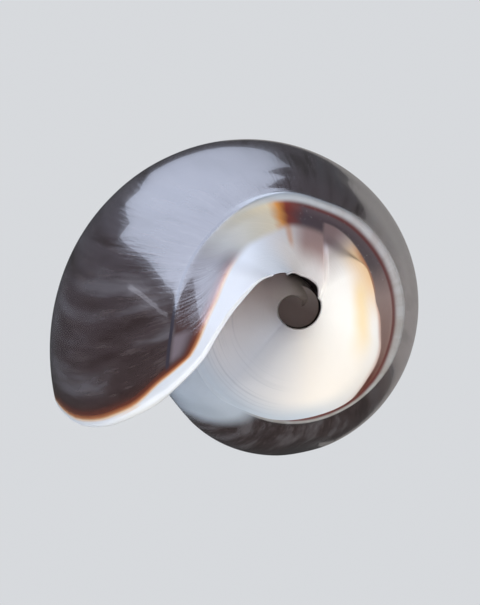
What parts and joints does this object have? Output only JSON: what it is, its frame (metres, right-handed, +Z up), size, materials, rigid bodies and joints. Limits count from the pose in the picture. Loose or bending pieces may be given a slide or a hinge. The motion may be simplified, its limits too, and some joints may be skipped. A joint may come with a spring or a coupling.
{
  "type": "olive shell",
  "caption": "Dark glossy olive sea shell lying on its mouth, with a pale lip rim, a white callus winding into the notch at the front end and a short pointed spire behind.",
  "frame": {"origin": "centre of the shell's bounding box in X and Y, on the surface it lies on", "axes": "+Z up, +Y along the shell towards its pointed spire, -Y towards the notched front end, +X to the right when the front end faces the viewer"},
  "size_m": [0.0182, 0.0306, 0.0139],
  "materials": {
    "shell": "gloss"
  },
  "bodies": {
    "root": {"shell": "shell"}
  },
  "joints": []
}
